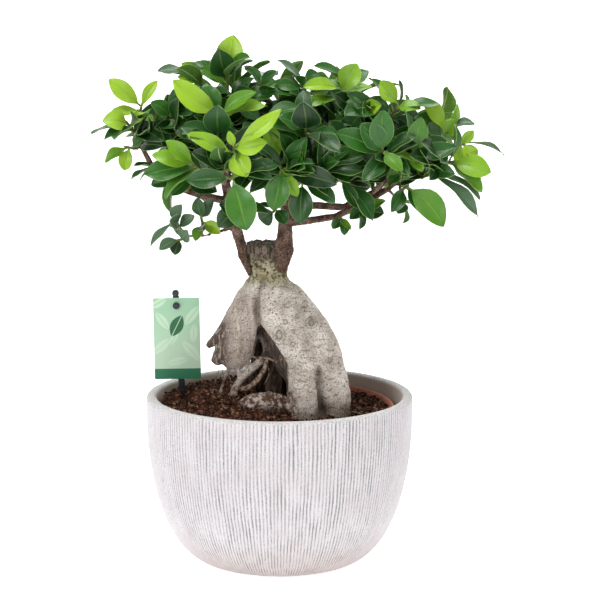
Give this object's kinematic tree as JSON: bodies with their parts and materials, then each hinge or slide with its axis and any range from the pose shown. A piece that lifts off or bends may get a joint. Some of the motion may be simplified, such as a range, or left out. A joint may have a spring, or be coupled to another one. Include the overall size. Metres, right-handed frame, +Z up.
{
  "type": "potted ficus bonsai",
  "caption": "Small grafted ficus bonsai with thick bare roots and a broad leafy crown, in a nursery pot inside a ribbed stoneware bowl, with a plant label.",
  "frame": {"origin": "centre of the flat foot of the stoneware bowl, where it rests on the ground", "axes": "+Z up through the bowl; -Y is the front, where the label card faces; +X to the right seen from the front"},
  "size_m": [0.3101, 0.2233, 0.405],
  "materials": {
    "stoneware": "matte",
    "terracotta_plastic": "satin",
    "peat_soil": "matte",
    "root_bark": "matte",
    "graft_bark": "matte",
    "printed_card": "satin",
    "dark_plastic": "satin",
    "dark_leaf": "gloss",
    "green_leaf": "gloss",
    "young_leaf": "satin",
    "grey_leaf": "satin"
  },
  "bodies": {
    "root": {"cover_bowl": "stoneware", "nursery_pot": "terracotta_plastic", "potting_soil": "peat_soil", "root_trunk": "root_bark", "graft_branch_left": "graft_bark", "graft_branch_right": "graft_bark", "label_card": "printed_card", "label_stake": "dark_plastic", "leafy_shoot_01": "green_leaf", "leafy_shoot_02": "green_leaf", "leafy_shoot_03": "green_leaf", "leafy_shoot_04": "green_leaf", "leafy_shoot_05": "young_leaf", "leafy_shoot_06": "young_leaf", "leafy_shoot_07": "green_leaf", "leafy_shoot_08": "dark_leaf", "leafy_shoot_09": "dark_leaf", "leafy_shoot_10": "dark_leaf", "leafy_shoot_11": "dark_leaf", "leafy_shoot_12": "grey_leaf", "leafy_shoot_13": "grey_leaf", "leafy_shoot_14": "dark_leaf", "leafy_shoot_15": "young_leaf", "leafy_shoot_16": "young_leaf", "leafy_shoot_17": "green_leaf", "leafy_shoot_18": "green_leaf", "leafy_shoot_19": "green_leaf", "leafy_shoot_20": "dark_leaf", "leafy_shoot_21": "dark_leaf", "leafy_shoot_22": "green_leaf", "leafy_shoot_23": "green_leaf", "leafy_shoot_24": "green_leaf", "leafy_shoot_25": "green_leaf", "leafy_shoot_26": "green_leaf", "leafy_shoot_27": "green_leaf", "leafy_shoot_28": "green_leaf", "leafy_shoot_29": "dark_leaf", "leafy_shoot_30": "green_leaf", "leafy_shoot_31": "dark_leaf", "leafy_shoot_32": "green_leaf", "leafy_shoot_33": "green_leaf", "leafy_shoot_34": "dark_leaf", "leafy_shoot_35": "green_leaf", "leafy_shoot_36": "green_leaf", "leafy_shoot_37": "green_leaf", "leafy_shoot_38": "young_leaf", "leafy_shoot_39": "green_leaf", "leafy_shoot_40": "green_leaf", "leafy_shoot_41": "green_leaf", "leafy_shoot_42": "dark_leaf", "leafy_shoot_43": "green_leaf", "leafy_shoot_44": "green_leaf", "leafy_shoot_45": "dark_leaf", "leafy_shoot_46": "dark_leaf", "leafy_shoot_47": "green_leaf", "leafy_shoot_48": "green_leaf", "leafy_shoot_49": "green_leaf", "leafy_shoot_50": "young_leaf", "leafy_shoot_51": "green_leaf", "leafy_shoot_52": "young_leaf"}
  },
  "joints": []
}
